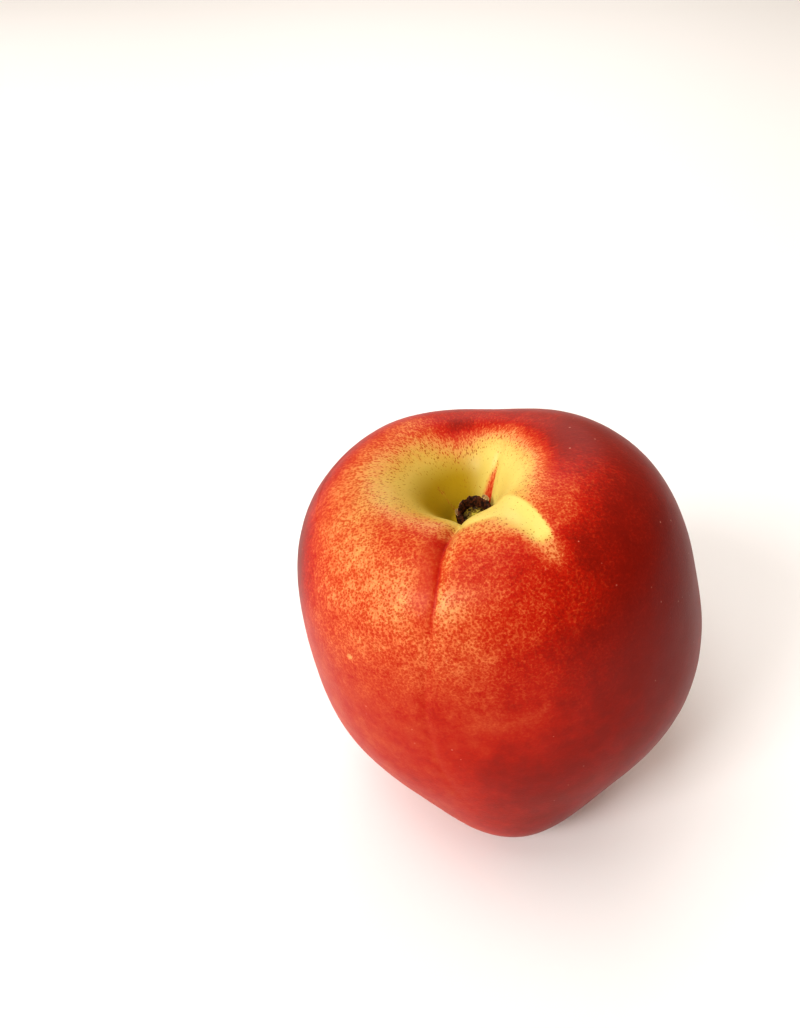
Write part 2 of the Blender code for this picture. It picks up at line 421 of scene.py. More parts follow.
@dataclass
class Colouring:
    """Where the sun reddened the skin, plus painted light and shade. Angles are in degrees; amounts run from
    0, bare, to 1.
    """

    rise: tuple[float, float] = (12.5, 25.0)
    rise_later: float = 6.0
    crown_sunny: float = 0.78
    crown_shade: float = 0.45
    shade_azimuth: float = -135.0
    most: float = 0.85
    # The left cheek is less red: partly its own paler skin, partly a painted highlight where the lamps' light
    # falls.
    cheek_lack_and_highlight: float = 0.18
    cheek_azimuth: float = -140.0
    full: float = 41.0
    full_later: float = 36.0
    full_azimuth: float = -125.0
    patches: tuple[Patch, ...] = tuple(
        Patch(*row)
        for row in (
            (-121, 28, 6, 0.06), (-130, 24, 8, 0.15), (-102, 34, 10, 0.14), (-76, 37, 8, 0.20),
            (-100, 44, 4, -0.16), (-116, 41, 6, -0.10), (-100, 55, 7, -0.10), (-92, 72, 10, -0.10),
            (95, 15, 5, 0.12), (95, 20, 6, 0.12), (58, 19, 7, -0.14), (119, 27, 8, -0.20),
            (6, 28, 8, 0.10), (-66, 46, 7, -0.14), (-82, 68, 15, -0.10), (-118, 18, 5, 0.05),
            (-104, 20, 3, 0.14), (-32, 62, 22, 0.07), (25, 32, 14, 0.06), (-64, 37.5, 2.8, -0.34),
            # The patch at -170 reddens and darkens the left rim: painted shade that tones down its sheen.
            (-170, 52, 13, 0.30), (-132, 59.5, 0.8, -0.35), (125, 105, 32, -0.30), (40, 150, 30, -0.22),
        )
    )
    seam_level: float = 0.74
    bank_level: float = 0.70
    bank_lack: float = 0.08
    bank_strength: float = 0.85
    band_strength: float = 0.8
    band_width: float = 2.4
    wedge_redness: float = 0.60
    streak_azimuth: float = 138.0
    streak_redness: float = 0.30
    crown_grain: float = 0.5
    smooth_below: float = 0.78
    smooth_bank: float = 0.55
    # How far the notch's left lip turns to the cavity's olive: painted shade on the lip.
    lip_depth: float = 0.40

    def blush(self, form: FruitForm, body: np.ndarray) -> np.ndarray:
        """How red the skin is at each point of the body, with painted light and shade folded in."""
        polar = self.polar(body)
        azimuth = np.degrees(np.arctan2(body[:, 1], body[:, 0]))

        shade = smooth_step(-0.6, 0.6, np.cos(np.radians(azimuth - self.shade_azimuth)))
        crown = self.crown_sunny + (self.crown_shade - self.crown_sunny) * shade
        # Paler left cheek: partly the skin's own, partly painted highlight.
        lit_cheek = smooth_step(0.55, 1.0, np.cos(np.radians(azimuth - self.cheek_azimuth)))
        later = smooth_step(0.3, 1.0, np.cos(np.radians(azimuth - self.full_azimuth)))
        full = self.full + self.full_later * later
        rise_end = self.rise[1] + self.rise_later * shade
        blush = crown + (self.most - self.cheek_lack_and_highlight * lit_cheek - crown) * smooth_step(28, full, polar)
        blush *= smooth_step(self.rise[0], rise_end, polar)

        direction = body / np.linalg.norm(body, axis=1)[:, None]
        for patch in self.patches:
            blush += patch.amount * patch.weight(direction)
        blush = self.seam(form, body, polar, blush)
        blush += self.wedge_redness * self.wedge(form, body) + self.streak_redness * self.streak(form, body)
        return np.clip(blush, 0, 1) * (1 - self.bare(form, body))

    @staticmethod
    def polar(body: np.ndarray) -> np.ndarray:
        """Angle of each point from the stem, in degrees."""
        return np.degrees(np.arctan2(np.hypot(body[:, 0], body[:, 1]), body[:, 2]))

    @staticmethod
    def left_bank(aside: np.ndarray, polar: np.ndarray) -> np.ndarray:
        """Shape, from 0 to 1, of the suture's left bank, which ends sharply at the suture."""
        left_bank = smooth_step(-4.4, -1.2, aside) * (1 - smooth_step(-0.15, 0.15, aside))
        return left_bank * smooth_step(26, 28, polar) * (1 - smooth_step(36, 52, polar))

    def seam(self, form: FruitForm, body: np.ndarray, polar: np.ndarray, blush: np.ndarray) -> np.ndarray:
        """Draws the suture: a red line with a red left bank and a pale right bank, and a broad band below."""
        aside = form.aside(body)
        upper = smooth_step(26, 28, polar) * (1 - smooth_step(38, 54, polar))
        line = np.exp(-(((aside + 0.1) / 0.3) ** 2)) * upper
        left_bank = self.left_bank(aside, polar)
        lower = smooth_step(56, 74, polar) * (1 - smooth_step(90, 118, polar))
        band = self.band_strength * np.exp(-((aside / self.band_width) ** 2)) * lower
        right_bank = smooth_step(0.1, 0.5, aside) * (1 - smooth_step(1.4, 2.6, aside)) * upper
        blush = blush - self.bank_lack * right_bank
        blush += (self.bank_level - blush) * self.bank_strength * np.maximum(left_bank, band)
        return blush + (self.seam_level - blush) * line

    def wedge(self, form: FruitForm, body: np.ndarray) -> np.ndarray:
        """The red wedge along the crease's left bank, widest near the stem."""
        outward, aside = form.crown_line(body, form.crease_azimuth)
        width = 1.6 * (1 - smooth_step(3.5, 9.5, outward)) + 0.1
        wedge = smooth_step(-0.3, -0.05, aside) * (1 - smooth_step(0.35, 1.1, aside / width))
        return wedge * smooth_step(2.6, 3.2, outward) * (1 - smooth_step(6.0, 9.0, outward))

    def streak(self, form: FruitForm, body: np.ndarray) -> np.ndarray:
        """The brown streak that runs down the cavity's left wall."""
        outward, aside = form.crown_line(body, math.radians(self.streak_azimuth))
        return np.exp(-((aside / 0.5) ** 2) - ((outward - 5.4) / 1.8) ** 4)

    def bare(self, form: FruitForm, body: np.ndarray) -> np.ndarray:
        """Where the skin stayed bare yellow: the trough, crisp on its right, and the lip on its left."""
        outward, aside = form.crown_line(body, form.trough_azimuth)
        right, left = form.trough_edges(outward)
        left = left - 4.5 * (1 - smooth_step(11.0, 14.0, outward))
        bare = 1 - smooth_step(-0.25, 0.25, aside - right)
        bare *= smooth_step(-2.0, 1.4, aside - left)
        bare *= 1 - smooth_step(form.trough_tip - 2.4, form.trough_tip + 0.5, outward)
        return bare * smooth_step(0, 4, outward)

    def olive_and_painted_shade(self, form: FruitForm, body: np.ndarray) -> np.ndarray:
        """Where bare skin turns the cavity's olive, partly painted shade: deeper in, on its left wall and on
        the left lip.
        """
        azimuth = np.arctan2(body[:, 1], body[:, 0])
        # The cavity's painted shade is strongest on its left wall, which faces away from the lamps.
        on_shaded_left = smooth_step(0.0, 0.8, np.cos(azimuth - math.radians(140)))
        deep_olive_and_shade = smooth_step(0.8, 6.0, form.cavity_drop(body)) * (0.2 + 0.8 * on_shaded_left)
        on_right = smooth_step(0.2, 0.9, np.cos(azimuth - math.radians(15)))
        # The notch's left lip takes the olive too, as painted shade.
        lip = self.lip_depth * (1 - smooth_step(24, 42, self.polar(body))) * (1 - on_right)
        return np.maximum(deep_olive_and_shade, lip) * (1 - 0.8 * self.bare(form, body))

    def stipple(self, form: FruitForm, body: np.ndarray) -> np.ndarray:
        """How clearly the dots show: fully on the crown, hardly below the middle or left of the suture."""
        polar = self.polar(body)
        clear = 1 - self.smooth_below * smooth_step(46, 82, polar)
        return clear * (1 - self.smooth_bank * self.left_bank(form.aside(body), polar))

    def grain(self, body: np.ndarray) -> np.ndarray:
        """Coordinates for the stipple, stretched away from the stem on the crown's sides and back."""
        across = np.maximum(np.hypot(body[:, 0], body[:, 1]), 0.5)
        azimuth = np.arctan2(body[:, 1], body[:, 0])
        on_side = 0.5 + 0.5 * np.cos(azimuth - math.radians(80))
        power = 1 - self.crown_grain * smooth_step(0.15, 0.6, on_side) * (body[:, 2] > 0)
        edge = 26.0
        stretched = edge * (across / edge) ** power
        scale = np.where((across < edge) & (body[:, 2] > 0), stretched / across, 1)
        return np.column_stack((body[:, 0] * scale, body[:, 1] * scale, body[:, 2])) * MM


# --- Finishes ---


@dataclass(frozen=True)
class NectarineSkin:
    """Nectarine skin, grown: a thin, waxed skin with no down.

    Its wax gives a satin gloss with soft edges, the flesh under it glows a little, and its red is laid on in
    fine dots over a yellow ground, so it reads as stipple near the stem and as solid red towards the sun.
    Sizes are in mm, and blushes and shares run from 0 to 1.
    """

    # The dots: cells of uneven size whose borders wander. Their size is matched to the look, not measured.
    dot_pitch: float = 0.35
    dot_reach: tuple[float, float] = (0.36, 1.34)
    dot_softness: float = 0.17
    dot_height: float = 0.02
    dot_relief: float = 0.4
    cell_weight: float = 1.1
    wobble_size: float = 0.7
    wobble_reach: float = 0.36
    fine_size: float = 0.24
    fine_weight: float = 0.55
    chance_weight: float = 0.45
    chance_balance: float = -0.18
    even_cover: float = 1.2

    # What breaks the blush up, from the finest to the broadest.
    fleck_size: float = 0.42
    fleck_strength: float = 2.4
    cloud_size: float = 1.7
    cloud_strength: float = 1.0
    mottle_size: float = 5.0
    mottle_strength: float = 1.0

    # The pale pores.
    lenticel_pitch: float = 2.0
    lenticel_radius: float = 0.11
    lenticel_lack: float = 0.25
    lenticel_blush: tuple[float, float] = (0.4, 0.8)
    lenticel_strength: float = 0.75

    stops: tuple[float, ...] = (0.0, 0.22, 0.40, 0.56, 0.72, 0.86, 1.0)
    ground: tuple[str, ...] = ("#E2CC74", "#E2B262", "#DE905A", "#D0683C", "#B83A1A", "#962010", "#7C1A0C")
    dots: tuple[str, ...] = ("#9A701E", "#9C5A1E", "#BC5828", "#BE4220", "#B21E0B", "#8A190B", "#74140A")
    # The cavity's olive yellow, darker than the ground: partly its own colour, partly painted shade.
    shaded_cavity_olive: str = "#A6881C"
    cavity_blush: tuple[float, float] = (0.25, 0.70)
    lenticel: str = "#E8A890"

    # The wax, and the flesh that glows under it.
    roughness: tuple[float, float] = (0.29, 0.41)
    ior: float = 1.45
    shine: float = 0.11
    glow: float = 0.05
    glow_reach: tuple[float, float, float] = (1.6, 0.6, 0.3)

    def pattern(self, tree: NodeTree, grain: NodeSocket) -> NodeSocket:
        """Adds the stipple's pattern: low in the middles of small wobbly cells and high on their borders.

        Args:
            tree: The material's node tree.
            grain: The coordinates that the pattern follows.

        Returns:
            The output that carries the pattern.
        """
        size = {"Scale": 1 / (self.wobble_size * MM), "Detail": 1.0}
        wobble = add_node(tree, "TexNoise", size, {"Vector": grain}).outputs["Color"]
        reach = {"operation": "MULTIPLY_ADD", 1: (self.wobble_reach * MM,) * 3}
        moved = add_node(tree, "VectorMath", reach, {0: wobble, 2: grain}).outputs[0]
        cells = add_node(tree, "TexVoronoi", {"Scale": 1 / (self.dot_pitch * MM)}, {"Vector": moved})
        chance = add_node(tree, "SeparateColor", links={"Color": cells.outputs["Color"]}).outputs["Red"]
        lumps = {"Scale": 1 / (self.fine_size * MM), "Detail": 2.0}
        fine = add_node(tree, "TexNoise", lumps, {"Vector": grain}).outputs["Fac"]
        sums = {"operation": "MULTIPLY_ADD", 1: self.chance_weight, 2: self.chance_balance}
        uneven = add_node(tree, "Math", sums, {0: chance}).outputs[0]
        rough = add_node(
            tree, "Math", {"operation": "MULTIPLY_ADD", 1: self.fine_weight}, {0: fine, 2: uneven}
        ).outputs[0]
        sums = {"operation": "MULTIPLY_ADD", 1: self.cell_weight}
        return add_node(tree, "Math", sums, {0: cells.outputs["Distance"], 2: rough}).outputs[0]

    def half_way(self, tree: NodeTree, tone: NodeSocket) -> NodeSocket:
        """Adds a value that is highest where the skin is half red, and 0 where it is bare or all red."""
        rest = add_node(tree, "Math", {"operation": "SUBTRACT", 0: 1.0}, {1: tone}).outputs[0]
        return add_node(tree, "Math", {"operation": "MULTIPLY"}, {0: tone, 1: rest}).outputs[0]

    def tone(self, tree: NodeTree, place: NodeSocket, grain: NodeSocket) -> NodeSocket:
        """Adds the blush with its broad mottling and its clouds, both strongest where it is half red.

        Args:
            tree: The material's node tree.
            place: The object's own coordinates.
            grain: The coordinates that the clouds follow.

        Returns:
            The output that carries the blush.
        """
        blush = add_node(tree, "Attribute", {"attribute_name": "blush"}).outputs["Fac"]
        lumps = {"Scale": 1 / (self.mottle_size * MM), "Detail": 2.0}
        mottle = add_node(tree, "TexNoise", lumps, {"Vector": place}).outputs["Fac"]
        lumps = {"Scale": 1 / (self.cloud_size * MM), "Detail": 3.0, "Roughness": 0.6}
        clouds = add_node(tree, "TexNoise", lumps, {"Vector": grain}).outputs["Fac"]
        # Noise averages a half, so half of both strengths is taken off again.
        lift = -(self.mottle_strength + self.cloud_strength) / 2
        mottled = add_node(
            tree, "Math", {"operation": "MULTIPLY_ADD", 1: self.mottle_strength, 2: lift}, {0: mottle}
        ).outputs[0]
        swing = add_node(
            tree, "Math", {"operation": "MULTIPLY_ADD", 1: self.cloud_strength}, {0: clouds, 2: mottled}
        ).outputs[0]
        between = self.half_way(tree, blush)
        return add_node(
            tree, "Math", {"operation": "MULTIPLY_ADD", "use_clamp": True}, {0: swing, 1: between, 2: blush}
        ).outputs[0]

    def broken(self, tree: NodeTree, tone: NodeSocket, grain: NodeSocket, stipple: NodeSocket) -> NodeSocket:
        """Breaks the tone up into fine flecks, which are strongest where the skin is half red.

        Args:
            tree: The material's node tree.
            tone: How red the skin is.
            grain: The coordinates that the flecks follow.
            stipple: How clearly the dots and flecks show.

        Returns:
            The output that carries the broken tone.
        """
        lumps = {"Scale": 1 / (self.fleck_size * MM), "Detail": 3.0, "Roughness": 0.7}
        flecks = add_node(tree, "TexNoise", lumps, {"Vector": grain}).outputs["Fac"]
        sums = {"operation": "MULTIPLY_ADD", 1: self.fleck_strength, 2: -self.fleck_strength / 2}
        swing = add_node(tree, "Math", sums, {0: flecks}).outputs[0]
        between = self.half_way(tree, tone)
        share = add_node(tree, "Math", {"operation": "MULTIPLY"}, {0: between, 1: stipple}).outputs[0]
        return add_node(
            tree, "Math", {"operation": "MULTIPLY_ADD", "use_clamp": True}, {0: swing, 1: share, 2: tone}
        ).outputs[0]

    def lenticels(self, tree: NodeTree, place: NodeSocket, tone: NodeSocket) -> NodeSocket:
        """Adds the lenticels: sparse pale pores of uneven size, faint except on red skin.

        Args:
            tree: The material's node tree.
            place: The object's own coordinates.
            tone: How red the skin is.

        Returns:
            The output that is 1 in the middle of a pore.
        """
        pores = add_node(tree, "TexVoronoi", {"Scale": 1 / (self.lenticel_pitch * MM)}, {"Vector": place})
        chance = add_node(tree, "SeparateColor", links={"Color": pores.outputs["Color"]}).outputs["Green"]
        size = add_node(
            tree,
            "MapRange",
            {"From Min": self.lenticel_lack, "To Min": 0.0, "To Max": self.lenticel_radius},
            {"Value": chance},
        ).outputs[0]
        inside = {0: pores.outputs["Distance"], 2: size}
        pore = add_node(tree, "MapRange", {"To Min": 1.0, "To Max": 0.0}, inside).outputs[0]
        bare, red = self.lenticel_blush
        faint = add_node(
            tree,
            "MapRange",
            {"From Min": bare, "From Max": red, "To Max": self.lenticel_strength},
            {"Value": tone},
        ).outputs[0]
        return add_node(tree, "Math", {"operation": "MULTIPLY"}, {0: pore, 1: faint}).outputs[0]

    def material(self) -> Material:
        """Builds the material from the piece's attributes and patterns sized in mm."""
        material, tree, place = start_material("nectarine_skin")
        grain = add_node(tree, "Attribute", {"attribute_name": "grain"}).outputs["Vector"]
        # The cavity attribute carries the cavity's olive and its painted shade.
        cavity = add_node(tree, "Attribute", {"attribute_name": "cavity"}).outputs["Fac"]
        stipple = add_node(tree, "Attribute", {"attribute_name": "stipple"}).outputs["Fac"]
        pattern = self.pattern(tree, grain)
        tone = self.tone(tree, place, grain)
        broken = self.broken(tree, tone, grain, stipple)

        # The ground between the dots, which turns to the cavity's olive where it is bare, darkened there as
        # painted shade.
        ground = add_node(tree, "ValToRGB", links={"Fac": broken})
        set_stops(ground, self.stops, self.ground)
        bare, red = self.cavity_blush
        lack = {"From Min": bare, "From Max": red, "To Min": 1.0, "To Max": 0.0}
        bareness = add_node(tree, "MapRange", lack, {"Value": tone}).outputs[0]
        inside = add_node(tree, "Math", {"operation": "MULTIPLY"}, {0: cavity, 1: bareness}).outputs[0]
        yellow = {"data_type": "RGBA", 7: linear(self.shaded_cavity_olive)}
        deepened_and_shaded = add_node(tree, "Mix", yellow, {0: inside, 6: ground.outputs["Color"]}).outputs[2]

        dots = add_node(tree, "ValToRGB", links={"Fac": broken})
        set_stops(dots, self.stops, self.dots)

        # The dots grow with the blush, until only a net of lighter ground is left between them. Where they
        # don't show, an even cover takes their place.
        least, most = self.dot_reach
        reach = add_node(tree, "MapRange", {"To Min": least, "To Max": most}, {"Value": tone}).outputs[0]
        past = add_node(tree, "Math", {"operation": "SUBTRACT"}, {0: pattern, 1: reach}).outputs[0]
        edge = {"From Min": self.dot_softness, "From Max": -self.dot_softness}
        edge["interpolation_type"] = "SMOOTHSTEP"
        crisp = add_node(tree, "MapRange", edge, {"Value": past}).outputs[0]
        even = add_node(tree, "Math", {"operation": "SUBTRACT", 0: 1.0}, {1: stipple}).outputs[0]
        cover = add_node(
            tree, "Math", {"operation": "MULTIPLY", "use_clamp": True, 1: self.even_cover}, {0: tone}
        ).outputs[0]
        shown = add_node(tree, "Mix", links={0: even, 2: crisp, 3: cover}).outputs[0]
        layers = {0: shown, 6: deepened_and_shaded, 7: dots.outputs["Color"]}
        stippled = add_node(tree, "Mix", {"data_type": "RGBA"}, layers).outputs[2]
        pore = self.lenticels(tree, place, tone)
        pale = {"data_type": "RGBA", 7: linear(self.lenticel)}
        coloured = add_node(tree, "Mix", pale, {0: pore, 6: stippled}).outputs[2]

        # Wax: satin, a little rougher on red skin, with the dots lying just under the surface.
        smoothest, roughest = self.roughness
        waxy = {"To Min": smoothest, "To Max": roughest}
        rough = add_node(tree, "MapRange", waxy, {"Value": tone}).outputs[0]
        values = {
            "Base Color": coloured,
            "Roughness": rough,
            "IOR": self.ior,
            "Specular IOR Level": self.shine,
            "Subsurface Weight": self.glow,
            "Subsurface Radius": tuple(reach * MM for reach in self.glow_reach),
            "Subsurface Scale": 1.0,
        }
        relief = {"Strength": self.dot_relief, "Distance": self.dot_height * MM}
        values["Normal"] = add_node(tree, "Bump", relief, {"Height": pattern}).outputs["Normal"]
        set_surface(tree, values)
        return material


@dataclass(frozen=True)
class DryBark:
    """Dead stalk bark, dried: cracked, matte and dark, with paler worn edges. Sizes are in mm."""

    name: str = "dry_stalk_bark"
    dark: str = "#1C0B04"
    middle: str = "#5E3016"
    worn: str = "#A08058"
    stops: tuple[float, float] = (0.42, 0.62)
    wear: tuple[float, float] = (1.4, -0.2)
    crack_size: float = 0.5
    crack_depth: float = 0.08
    crack_relief: float = 0.8
    roughness: float = 0.72
    shine: float = 0.2

    def material(self) -> Material:
        """Builds the material: cracks from noise, worn colour where the attribute says."""
        material, tree, place = start_material(self.name)
        worn = add_node(tree, "Attribute", {"attribute_name": "worn"}).outputs["Fac"]
        lumps = {"Scale": 1 / (self.crack_size * MM), "Detail": 4.0, "Roughness": 0.65}
        cracks = add_node(tree, "TexNoise", lumps, {"Vector": place}).outputs["Fac"]
        colour = add_node(tree, "ValToRGB", links={"Fac": cracks})
        set_stops(colour, self.stops, (self.dark, self.middle))
        gain, offset = self.wear
        edge = add_node(
            tree, "Math", {"operation": "MULTIPLY_ADD", "use_clamp": True, 1: gain, 2: offset}, {0: worn}
        ).outputs[0]
        pale = {"data_type": "RGBA", 7: linear(self.worn)}
        edged = add_node(tree, "Mix", pale, {0: edge, 6: colour.outputs["Color"]}).outputs[2]
        values = {"Base Color": edged, "Roughness": self.roughness, "Specular IOR Level": self.shine}
        relief = {"Strength": self.crack_relief, "Distance": self.crack_depth * MM}
        values["Normal"] = add_node(tree, "Bump", relief, {"Height": cracks}).outputs["Normal"]
        set_surface(tree, values)
        return material


@dataclass(frozen=True)
class MoistPith:
    """The stalk's torn middle: yellow-green where it is fresh and where light is painted on, brown in its
    cracks. Sizes are in mm.
    """

    fresh: str = "#AA9A3A"
    middle: str = "#6A5618"
    old: str = "#2A1606"
    stops: tuple[float, float, float] = (0.46, 0.60, 0.74)
    # How strongly the attribute lightens the pith: its fresh colour and painted light.
    freshness_and_light: float = 0.30
    tear_size: float = 0.6
    tear_depth: float = 0.06
    tear_relief: float = 0.7
    roughness: float = 0.5
    shine: float = 0.12

    def material(self) -> Material:
        """Builds the material: tears from twisted noise, fresher and painted lit where the attribute says."""
        material, tree, place = start_material("moist_stalk_pith")
        lumps = {"Scale": 1 / (self.tear_size * MM), "Detail": 3.0, "Distortion": 0.8}
        tears = add_node(tree, "TexNoise", lumps, {"Vector": place}).outputs["Fac"]
        fresh_and_lit = add_node(tree, "Attribute", {"attribute_name": "fresh_and_lit"}).outputs["Fac"]
        fresher = add_node(
            tree, "Math", {"operation": "MULTIPLY_ADD", 1: self.freshness_and_light}, {0: fresh_and_lit, 2: tears}
        ).outputs[0]
        colour = add_node(tree, "ValToRGB", links={"Fac": fresher})
        set_stops(colour, self.stops, (self.old, self.middle, self.fresh))
        values = {"Roughness": self.roughness, "Specular IOR Level": self.shine}
        values["Base Color"] = colour.outputs["Color"]
        relief = {"Strength": self.tear_relief, "Distance": self.tear_depth * MM}
        values["Normal"] = add_node(tree, "Bump", relief, {"Height": tears}).outputs["Normal"]
        set_surface(tree, values)
        return material


@dataclass(frozen=True)
class WhiteCard:
    """Uncoated white card, pressed: matt and nearly white, with a fine tooth. Sizes are in mm."""

    colour: str = "#F7F6F6"
    roughness: float = 0.55
    tooth_size: float = 1.2
    tooth_depth: float = 0.02
    tooth_relief: float = 0.1

    def material(self) -> Material:
        """Builds the material: one colour over a fine, shallow tooth."""
        material, tree, place = start_material("matt_white_card")
        lumps = {"Scale": 1 / (self.tooth_size * MM), "Detail": 3.0}
        tooth = add_node(tree, "TexNoise", lumps, {"Vector": place}).outputs["Fac"]
        values = {"Base Color": linear(self.colour), "Roughness": self.roughness}
        relief = {"Strength": self.tooth_relief, "Distance": self.tooth_depth * MM}
        values["Normal"] = add_node(tree, "Bump", relief, {"Height": tooth}).outputs["Normal"]
        set_surface(tree, values)
        return material


# --- Pieces ---


@dataclass
class Fruit:
    """The fruit's fine surface, which stands for the frame's solid."""

    stance: Stance
    form: FruitForm = field(default_factory=FruitForm)
    colouring: Colouring = field(default_factory=Colouring)
    skin: NectarineSkin = field(default_factory=NectarineSkin)
    rings: int = 300
    segments: int = 320
    crown_crowding: float = 0.45
    suture_crowding: float = 0.55

    def build(self) -> Object:
        """Starts from a sphere, crowds its rings at the crown and the suture, and shapes it."""
        bpy.ops.object.select_all(action="DESELECT")
        bpy.ops.mesh.primitive_uv_sphere_add(
            segments=self.segments, ring_count=self.rings, radius=self.form.mean_radius * MM
        )
        piece = start_piece("nectarine_fruit")
        mesh = piece.data
        points = read_points(mesh)
        share = np.arctan2(np.hypot(points[:, 0], points[:, 1]), points[:, 2]) / math.pi
        polar = math.pi * (share - self.crown_crowding * np.sin(math.pi * share) / math.pi)
        azimuth = np.arctan2(points[:, 1], points[:, 0])
        azimuth -= self.suture_crowding * np.sin(azimuth - self.form.suture_azimuth)
        body = self.form.body(polar, azimuth)
        shaped = self.form.pressed(body)

        store(mesh, "blush", self.colouring.blush(self.form, body))
        store(mesh, "grain", self.colouring.grain(body))
        # The cavity's olive, with painted shade deep in the cavity, on its left wall and on the notch's left
        # lip.
        store(mesh, "cavity", self.colouring.olive_and_painted_shade(self.form, body))
        store(mesh, "stipple", self.colouring.stipple(self.form, body))

        below = np.minimum(self.stance.height(shaped), 0)
        up = np.array([math.sin(self.stance.lean), 0, math.cos(self.stance.lean)])
        write_points(mesh, shaped - below[:, None] * up)
        mesh.transform(self.stance.matrix())
        tidy_mesh(piece)
        return piece

    def dress(self, piece: Object) -> None:
        """Gives the piece its skin and its place in the frame."""
        finish_piece(piece, self.skin.material())
        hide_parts("fruit")


@dataclass
class StemStub:
    """The woody end of the stalk: a knobbly ring of bark, torn pith inside it and loose flakes."""

    stance: Stance
    bark: DryBark = field(default_factory=DryBark)
    flake_bark: DryBark = field(
        default_factory=lambda: DryBark(
            "dry_stalk_flake", "#6E5230", "#A98B58", "#D6BE8C", crack_size=0.3, roughness=0.6
        )
    )
    pith: MoistPith = field(default_factory=MoistPith)
    ring_radius: float = 2.4
    ring_width: float = 0.5
    ring_middle: float = 21.4
    ring_height: float = 1.75
    pith_radius: float = 2.1
    pith_top: float = 21.7
    tilt: float = 0.22

    def ring(self) -> Object:
        """The ring of bark: a torus drawn tall, then knobbed and cracked."""
        bpy.ops.object.select_all(action="DESELECT")
        bpy.ops.mesh.primitive_torus_add(
            major_segments=160,
            minor_segments=48,
            major_radius=self.ring_radius * MM,
            minor_radius=self.ring_width * MM,
        )
        piece = start_piece("stub_bark_ring")
        points = read_points(piece.data)
        across = np.hypot(points[:, 0], points[:, 1])
        out = (across - self.ring_radius) / self.ring_width
        up = points[:, 2] / self.ring_width
        around = points[:, :2] / across[:, None]
        knobs = roughen(np.column_stack((around * 2.6, up * 0.4)), 0.9, 4.0)
        cracks = roughen(np.column_stack((around * 2.6, up * 0.3)), 0.28, 7.0)
        swell = 0.5 * knobs + 0.4 * cracks
        width = self.ring_width * (1 + 0.9 * swell)
        reach = self.ring_radius + out * width
        height = self.ring_middle + up * self.ring_height * (1 + 0.35 * swell * (up > 0))
        height += self.tilt * around[:, 1] * reach * (up > 0)
        shaped = np.column_stack((around * reach[:, None], height))
        edge = smooth_step(0.5, 0.8, up) * smooth_step(0.1, 0.5, out + 0.4 * knobs)
        store(piece.data, "worn", edge * smooth_step(-0.2, 0.6, around[:, 1] - 0.3 * around[:, 0]))
        write_points(piece.data, shaped)
        piece.data.transform(self.stance.matrix())
        tidy_mesh(piece)
        return piece

    def plug(self) -> Object:
        """The torn pith: a flattened ball, dished, split and drawn up into fibres."""
        bpy.ops.object.select_all(action="DESELECT")
        bpy.ops.mesh.primitive_uv_sphere_add(segments=120, ring_count=80, radius=self.pith_radius * MM)
        piece = start_piece("stub_pith")
        points = read_points(piece.data)
        across = np.hypot(points[:, 0], points[:, 1])
        share = across / self.pith_radius
        fibres = roughen(np.column_stack((points[:, :2], points[:, 2] * 0.1)), 0.32, 11.0)
        lumps = roughen(points, 1.1, 13.0)
        top = points[:, 2] > 0
        height = np.where(top, 0.28, 0.9) * points[:, 2]
        height += np.where(top, (0.22 * fibres + 0.3 * lumps + 0.3 * share**2) * (1 - share**6), 0)
        height = self.pith_top - 0.5 + height + self.tilt * points[:, 1] * top
        shaped = np.column_stack((points[:, :2], height))
        # The pith is fresher yellow-green at its right-front: partly its fresh colour, partly painted light;
        # the darker rest stands partly for painted shade in the ring.
        right, front = points[:, 0] - 0.35, points[:, 1] + 0.2
        store(piece.data, "fresh_and_lit", np.exp(-((right / 1.3) ** 2) - (front / 0.9) ** 2))
        write_points(piece.data, shaped)
        piece.data.transform(self.stance.matrix())
        tidy_mesh(piece)
        return piece

    def flake(self, name: str, azimuth: float, length: float, width: float, lift: float) -> Object:
        """A curled flake of bark that peels off the ring's rim.

        Args:
            name: The piece's name.
            azimuth: Where it sits round the stub, in degrees.
            length: Its length along the rim, in mm.
            width: Its width, in mm.
            lift: How far its edge stands up from the rim, in mm.

        Returns:
            The finished flake.
        """
        bpy.ops.object.select_all(action="DESELECT")
        bpy.ops.mesh.primitive_grid_add(x_subdivisions=28, y_subdivisions=16, size=2 * MM)
        piece = start_piece(name)
        points = read_points(piece.data)
        along, out = points[:, 0], points[:, 1]
        narrowing = np.sqrt(np.clip(1 - 0.85 * along**2, 0, 1))
        turn = math.radians(azimuth) + along * length / 2 / self.ring_radius
        bump = 0.07 * roughen(points, 0.35, azimuth / 50)
        reach = self.ring_radius + 0.35 + out * narrowing * width / 2 * 0.7
        height = self.ring_middle + self.ring_height * 0.9
        height = height + lift * (0.5 + 0.5 * out) ** 1.5 * narrowing + bump
        x, y = reach * np.cos(turn), reach * np.sin(turn)
        write_points(piece.data, np.column_stack((x, y, height + self.tilt * y)))
        piece.data.transform(self.stance.matrix())
        thickness = piece.modifiers.new("thickness", "SOLIDIFY")
        thickness.thickness = 0.1 * MM
        thickness.offset = 0
        bpy.ops.object.modifier_apply(modifier=thickness.name)
        worn = 0.5 + 0.5 * np.sin(6 * np.arange(len(piece.data.vertices)) / len(piece.data.vertices))
        store(piece.data, "worn", worn)
        tidy_mesh(piece)
        return piece

    def dress(self) -> None:
        """Builds every piece of the stub, dresses it and fixes it to the frame."""
        ring = self.ring()
        finish_piece(ring, self.bark.material())
        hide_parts("stem_stub")
        finish_piece(self.plug(), self.pith.material())
        flake_material = self.flake_bark.material()
        for name, azimuth, length, width, lift in (
            ("stub_flake_large", 38.0, 1.3, 0.8, 0.4),
            ("stub_flake_small", -176.0, 1.1, 0.5, 0.3),
        ):
            finish_piece(self.flake(name, azimuth, length, width, lift), flake_material)


# --- Studio ---


